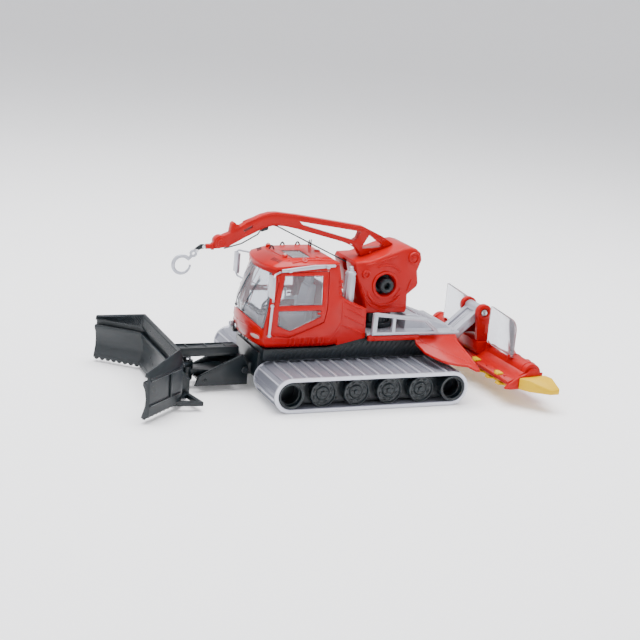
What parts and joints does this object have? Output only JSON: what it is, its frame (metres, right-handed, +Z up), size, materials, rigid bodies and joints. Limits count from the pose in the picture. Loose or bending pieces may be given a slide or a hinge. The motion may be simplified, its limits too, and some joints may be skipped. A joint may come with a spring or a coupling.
{
  "type": "toy snow groomer with winch, about 1:50",
  "caption": "Toy snow groomer: silver tracks, hollow red cab, swivelling winch with arched boom and hook, folding front blade and lifting rear tiller.",
  "frame": {"origin": "on the ground under the centre of the whole model's box", "axes": "+X to the rear, +Y to the model's right-hand side, +Z up"},
  "size_m": [0.1952, 0.1184, 0.0809],
  "materials": {
    "red_paint": "gloss red paint on a zinc casting",
    "red_plastic": "gloss red moulded plastic",
    "black_plastic": "satin black moulded plastic",
    "silver_plastic": "silver moulded plastic",
    "track_silver": "silver flexible track moulding",
    "clear_plastic": "clear polystyrene",
    "grey_plastic": "light grey moulded plastic",
    "yellow_plastic": "yellow moulded plastic",
    "steel_pin": "bright steel rivet",
    "rope": "dark twisted cord"
  },
  "bodies": {
    "chassis": {"chassis_hull": "black_plastic", "left_track": "track_silver", "right_track": "track_silver", "left_running_gear": "black_plastic", "right_running_gear": "black_plastic", "turret_base": "black_plastic", "rear_deck": "silver_plastic", "left_deck_rail": "silver_plastic", "right_deck_rail": "silver_plastic", "left_fender": "red_plastic", "right_fender": "red_plastic", "cab_body": "red_paint", "cab_roof": "red_paint", "left_door": "red_paint", "right_door": "red_paint", "windscreen": "clear_plastic", "left_upper_window": "clear_plastic", "right_upper_window": "clear_plastic", "left_lower_window": "clear_plastic", "right_lower_window": "clear_plastic", "rear_window": "clear_plastic", "skylight": "clear_plastic", "left_roof_rail": "silver_plastic", "right_roof_rail": "silver_plastic", "left_mirror": "silver_plastic", "right_mirror": "silver_plastic", "left_grab_rail": "silver_plastic", "right_grab_rail": "silver_plastic", "cab_seat": "grey_plastic", "cab_console": "grey_plastic", "exhaust_stack": "silver_plastic"},
    "winch": {"winch_housing": "red_plastic", "boom": "red_plastic", "rope_guide": "black_plastic", "rope_lower_run": "rope", "rope_upper_run": "rope"},
    "drum": {"winch_drum": "black_plastic"},
    "hook": {"hook_link": "black_plastic", "hook": "silver_plastic"},
    "push_frame": {"push_frame": "black_plastic", "swing_pin": "steel_pin"},
    "blade": {"blade": "black_plastic"},
    "lift_arm": {"lift_arm": "silver_plastic"},
    "lower_link": {"lower_link": "silver_plastic"},
    "tiller": {"tiller_bracket": "red_plastic", "tiller_pin": "steel_pin", "tiller_housing": "red_plastic", "tiller_comb": "red_plastic", "tiller_rotor": "yellow_plastic", "left_finisher": "yellow_plastic", "right_finisher": "red_plastic", "left_screen": "clear_plastic", "right_screen": "clear_plastic"}
  },
  "joints": [
    {"name": "winch_swivel", "type": "hinge", "parent": "chassis", "child": "winch", "pos_m": [0.02418, 0, 0.0362], "axis": [0, 0, 1], "continuous": true},
    {"name": "drum_spin", "type": "hinge", "parent": "winch", "child": "drum", "pos_m": [0.02418, 0, 0.0496], "axis": [0, 1, 0], "continuous": true},
    {"name": "hook_swing", "type": "hinge", "parent": "winch", "child": "hook", "pos_m": [-0.06122, 0, 0.0652], "axis": [0, 1, 0], "range_deg": [-60, 12]},
    {"name": "blade_lift", "type": "hinge", "parent": "chassis", "child": "push_frame", "pos_m": [-0.04032, 0, 0.01], "axis": [0, 1, 0], "range_deg": [-1, 16]},
    {"name": "blade_swing", "type": "hinge", "parent": "push_frame", "child": "blade", "pos_m": [-0.06542, 0, 0.01], "axis": [0, 0, 1], "range_deg": [-12, 12]},
    {"name": "tiller_lift", "type": "hinge", "parent": "chassis", "child": "lift_arm", "pos_m": [0.06518, 0, 0.02], "axis": [0, 1, 0], "range_deg": [-15, 22]},
    {"name": "lower_link_pivot", "type": "hinge", "parent": "chassis", "child": "lower_link", "pos_m": [0.06668, 0, 0.015], "axis": [0, 1, 0], "range_deg": [-15, 22]},
    {"name": "tiller_level", "type": "hinge", "parent": "lift_arm", "child": "tiller", "pos_m": [0.08118, 0, 0.034], "axis": [0, 1, 0], "range_deg": [-22, 15]}
  ],
  "couplings": [
    {"joint": "lower_link_pivot", "follows": "tiller_lift", "ratio": 1},
    {"joint": "tiller_level", "follows": "tiller_lift", "ratio": -1}
  ]
}
